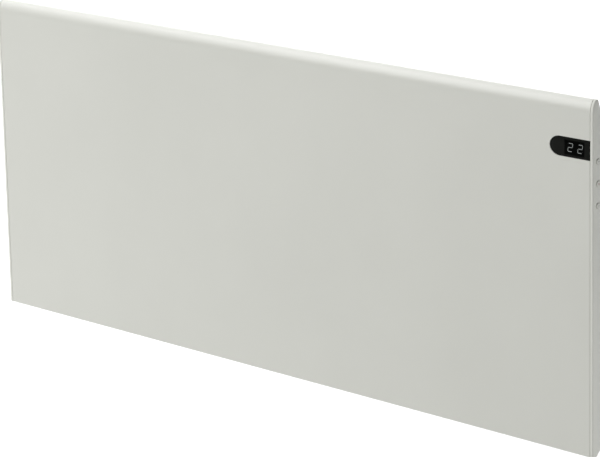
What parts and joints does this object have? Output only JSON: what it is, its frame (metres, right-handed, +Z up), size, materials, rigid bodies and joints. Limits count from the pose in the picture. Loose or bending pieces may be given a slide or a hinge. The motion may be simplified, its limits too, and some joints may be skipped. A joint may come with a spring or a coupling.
{
  "type": "wall panel convector heater",
  "caption": "Slim flat-fronted electric panel heater on a steel wall bracket, with a side display, push buttons, a slotted rear pan and a finned element.",
  "frame": {"origin": "on the wall side of the wall bracket, at the middle of its upper rail", "axes": "+X along the panel towards the end with the buttons, +Y into the wall, +Z up"},
  "size_m": [0.9179, 0.0875, 0.37],
  "materials": {
    "panel_paint": "powder coat, fine satin, off-white",
    "cap_plastic": "moulded plastic, satin, off-white to match the panel",
    "zinc_sheet": "galvanised sheet steel, dull",
    "zinc_screw": "zinc-plated steel",
    "shield_sheet": "plain rolled aluminium sheet",
    "fin_alloy": "extruded aluminium, as pressed",
    "rod_steel": "annealed steel sheath",
    "bush_ceramic": "steatite ceramic, unglazed",
    "lens_black": "polished black plastic",
    "led_face": "dark grey moulded plastic",
    "black_plastic": "black nylon",
    "clear_plastic": "natural nylon",
    "circuit_board": "green solder mask over glass-fibre laminate",
    "insulation_sheet": "grey-green fibre sheet",
    "relay_case": "dark blue moulded case",
    "capacitor_case": "yellow moulded case",
    "phenolic": "dark phenolic moulding",
    "brass_stud": "turned brass",
    "lead_brown": "insulated wire, brown",
    "lead_blue": "insulated wire, blue",
    "lead_green": "insulated wire, green and yellow",
    "lead_black": "insulated wire, black",
    "lead_grey": "insulated wire, grey"
  },
  "bodies": {
    "bracket": {"wall_bracket": "zinc_sheet"},
    "heater": {"front_panel": "panel_paint", "rear_pan": "zinc_sheet", "end_cap_left": "cap_plastic", "end_cap_right": "cap_plastic", "display_lens": "lens_black", "digit_module": "led_face", "control_board": "circuit_board", "board_insulator": "insulation_sheet", "heat_shield": "shield_sheet", "heating_fins": "fin_alloy", "heating_rod": "rod_steel", "thermal_cutout": "phenolic", "partition": "zinc_sheet", "board_tray": "black_plastic", "power_board": "circuit_board", "relay": "relay_case", "supply_module": "black_plastic", "filter_capacitor": "capacitor_case", "terminal_block": "clear_plastic", "earth_stud": "brass_stud", "cable_gland": "black_plastic", "gland_nut": "black_plastic", "room_sensor": "black_plastic", "sensor_clip": "clear_plastic", "lead_live": "lead_brown", "lead_neutral": "lead_blue", "lead_earth": "lead_green", "lead_switched": "lead_black", "lead_bridge": "lead_black", "lead_return": "lead_blue", "lead_sensor": "lead_grey", "ribbon_cable": "lead_grey", "tact_switch_upper": "black_plastic", "tact_switch_middle": "black_plastic", "tact_switch_lower": "black_plastic", "hanger_plate_left": "zinc_sheet", "element_bracket_left": "zinc_sheet", "element_bush_left": "bush_ceramic", "rod_terminal_left": "rod_steel", "casing_screw_left_lower": "zinc_screw", "casing_screw_left_upper": "zinc_screw", "hanger_plate_right": "zinc_sheet", "element_bracket_right": "zinc_sheet", "element_bush_right": "bush_ceramic", "rod_terminal_right": "rod_steel", "casing_screw_right_lower": "zinc_screw", "casing_screw_right_upper": "zinc_screw"},
    "catch_left": {"catch_bolt_left": "black_plastic", "catch_lever_left": "black_plastic"},
    "catch_right": {"catch_bolt_right": "black_plastic", "catch_lever_right": "black_plastic"},
    "button_upper": {"button_upper": "cap_plastic"},
    "button_middle": {"button_middle": "cap_plastic"},
    "button_lower": {"button_lower": "cap_plastic"}
  },
  "joints": [
    {"name": "heater_tilt", "type": "hinge", "parent": "bracket", "child": "heater", "pos_m": [0, -0.0336, -0.188], "axis": [1, 0, 0], "range_deg": [0, 15]},
    {"name": "catch_turn_left", "type": "hinge", "parent": "bracket", "child": "catch_left", "pos_m": [-0.224, -0.0275, 0.021], "axis": [0, 1, 0], "range_deg": [0, 90]},
    {"name": "catch_turn_right", "type": "hinge", "parent": "bracket", "child": "catch_right", "pos_m": [0.224, -0.0275, 0.021], "axis": [0, -1, 0], "range_deg": [0, 90]},
    {"name": "press_upper", "type": "slide", "parent": "heater", "child": "button_upper", "axis": [-1, 0, 0], "range_m": [0, 0.0006], "stiffness_N_per_m": 800},
    {"name": "press_middle", "type": "slide", "parent": "heater", "child": "button_middle", "axis": [-1, 0, 0], "range_m": [0, 0.0006], "stiffness_N_per_m": 800},
    {"name": "press_lower", "type": "slide", "parent": "heater", "child": "button_lower", "axis": [-1, 0, 0], "range_m": [0, 0.0006], "stiffness_N_per_m": 800}
  ]
}
